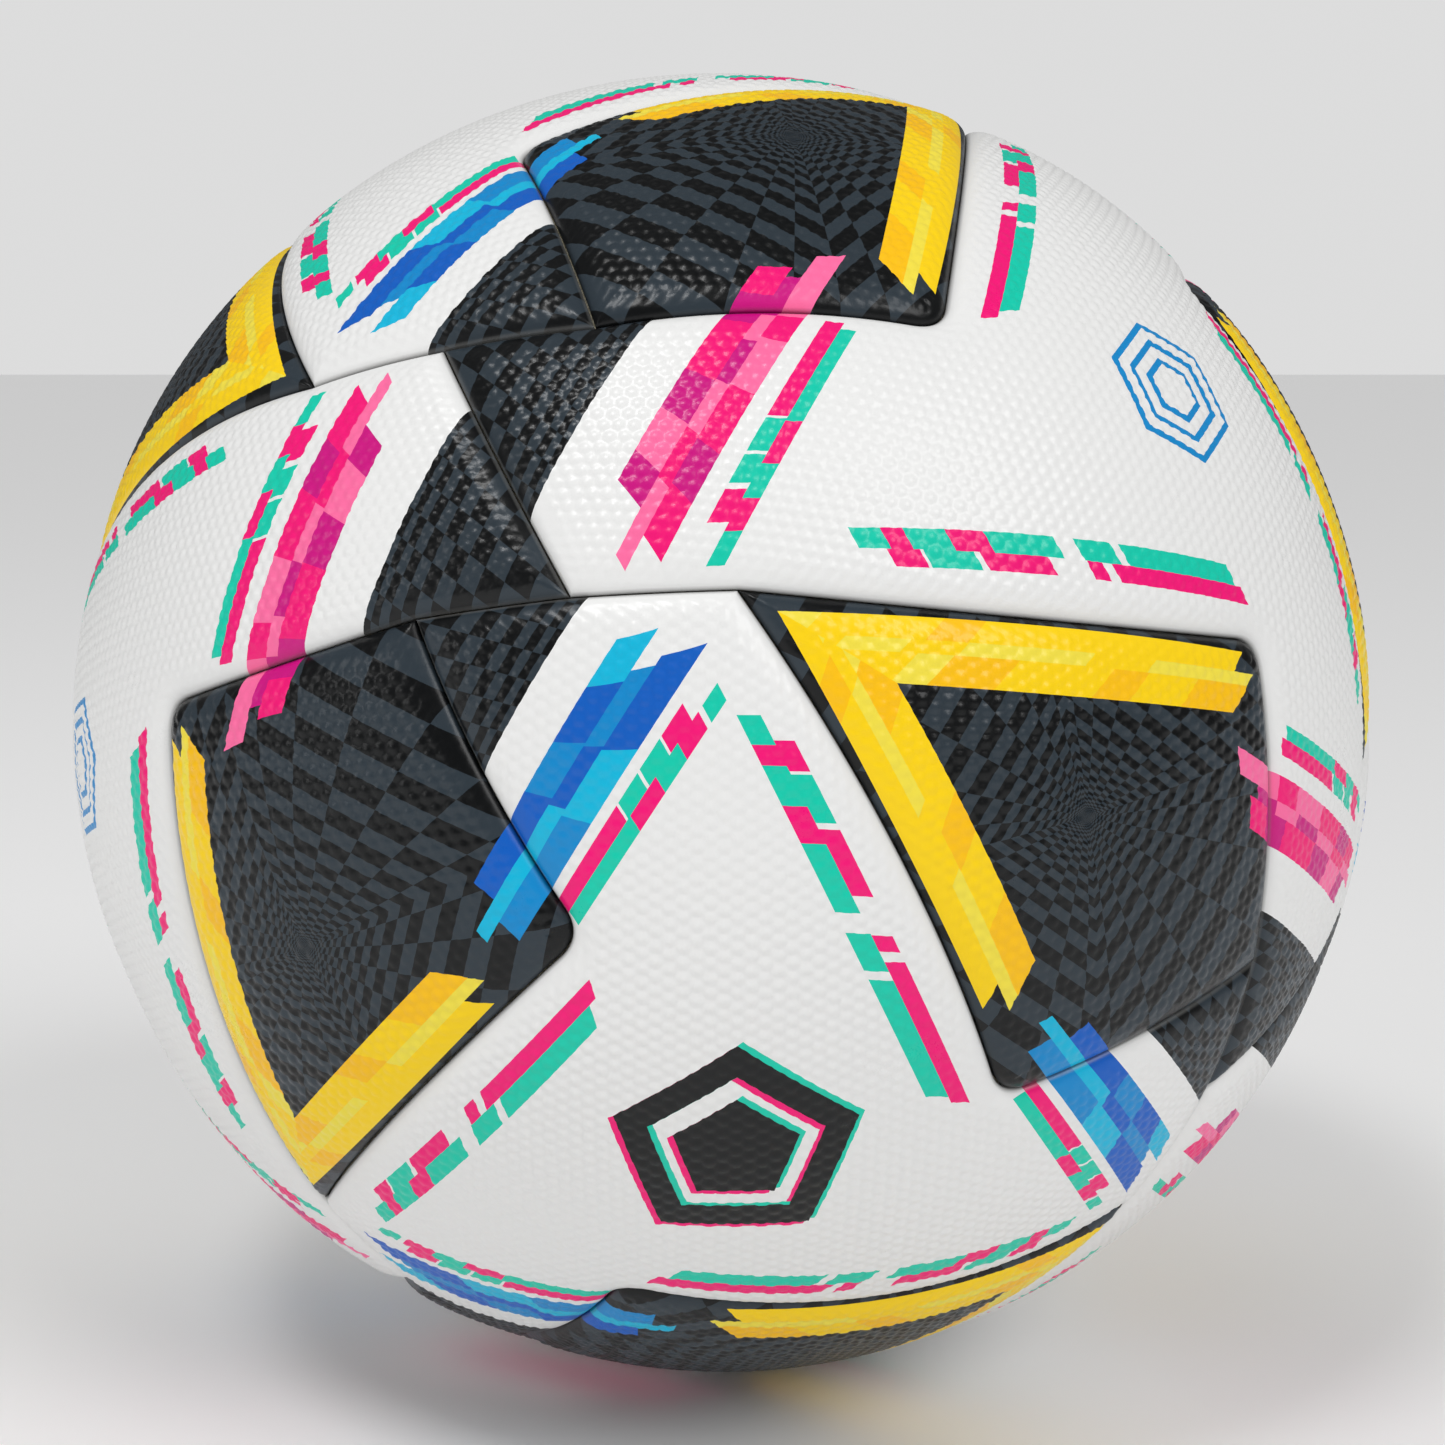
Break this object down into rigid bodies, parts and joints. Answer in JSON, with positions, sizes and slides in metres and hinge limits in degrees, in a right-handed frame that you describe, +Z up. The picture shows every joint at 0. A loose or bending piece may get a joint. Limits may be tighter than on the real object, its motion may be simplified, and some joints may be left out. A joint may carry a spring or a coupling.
{
  "type": "soccer ball",
  "caption": "Inflated size 5 football with bonded white three-armed panels and black kite-shaped panels, foam pads, fabric carcass, bladder and needle valve.",
  "frame": {"origin": "centre of the ball", "axes": "+Z up as the ball is displayed, -Y towards the viewer, +X to the viewer's right"},
  "size_m": [0.22, 0.22, 0.22],
  "materials": {
    "white_cover": "satin textured synthetic leather",
    "black_cover": "satin textured synthetic leather",
    "foam": "closed-cell foam",
    "carcass_fabric": "woven polyester",
    "bladder_rubber": "matte butyl",
    "valve_rubber": "satin"
  },
  "bodies": {
    "root": {"black_panel_01": "black_cover", "black_panel_02": "black_cover", "black_panel_03": "black_cover", "black_panel_04": "black_cover", "black_panel_05": "black_cover", "black_panel_06": "black_cover", "black_panel_07": "black_cover", "black_panel_08": "black_cover", "black_panel_09": "black_cover", "black_panel_10": "black_cover", "black_panel_11": "black_cover", "black_panel_12": "black_cover", "black_foam_pad_01": "foam", "black_foam_pad_02": "foam", "black_foam_pad_03": "foam", "black_foam_pad_04": "foam", "black_foam_pad_05": "foam", "black_foam_pad_06": "foam", "black_foam_pad_07": "foam", "black_foam_pad_08": "foam", "black_foam_pad_09": "foam", "black_foam_pad_10": "foam", "black_foam_pad_11": "foam", "black_foam_pad_12": "foam", "white_panel_a_1": "white_cover", "white_panel_a_2": "white_cover", "white_panel_a_3": "white_cover", "white_valve_panel": "white_cover", "white_panel_b_1": "white_cover", "white_panel_b_2": "white_cover", "white_panel_b_3": "white_cover", "white_panel_b_4": "white_cover", "white_foam_pad_a_1": "foam", "white_foam_pad_a_2": "foam", "white_foam_pad_a_3": "foam", "white_valve_foam_pad": "foam", "white_foam_pad_b_1": "foam", "white_foam_pad_b_2": "foam", "white_foam_pad_b_3": "foam", "white_foam_pad_b_4": "foam", "carcass": "carcass_fabric", "bladder": "bladder_rubber", "valve_patch": "carcass_fabric", "valve_housing": "bladder_rubber", "valve_core": "valve_rubber"}
  },
  "joints": []
}
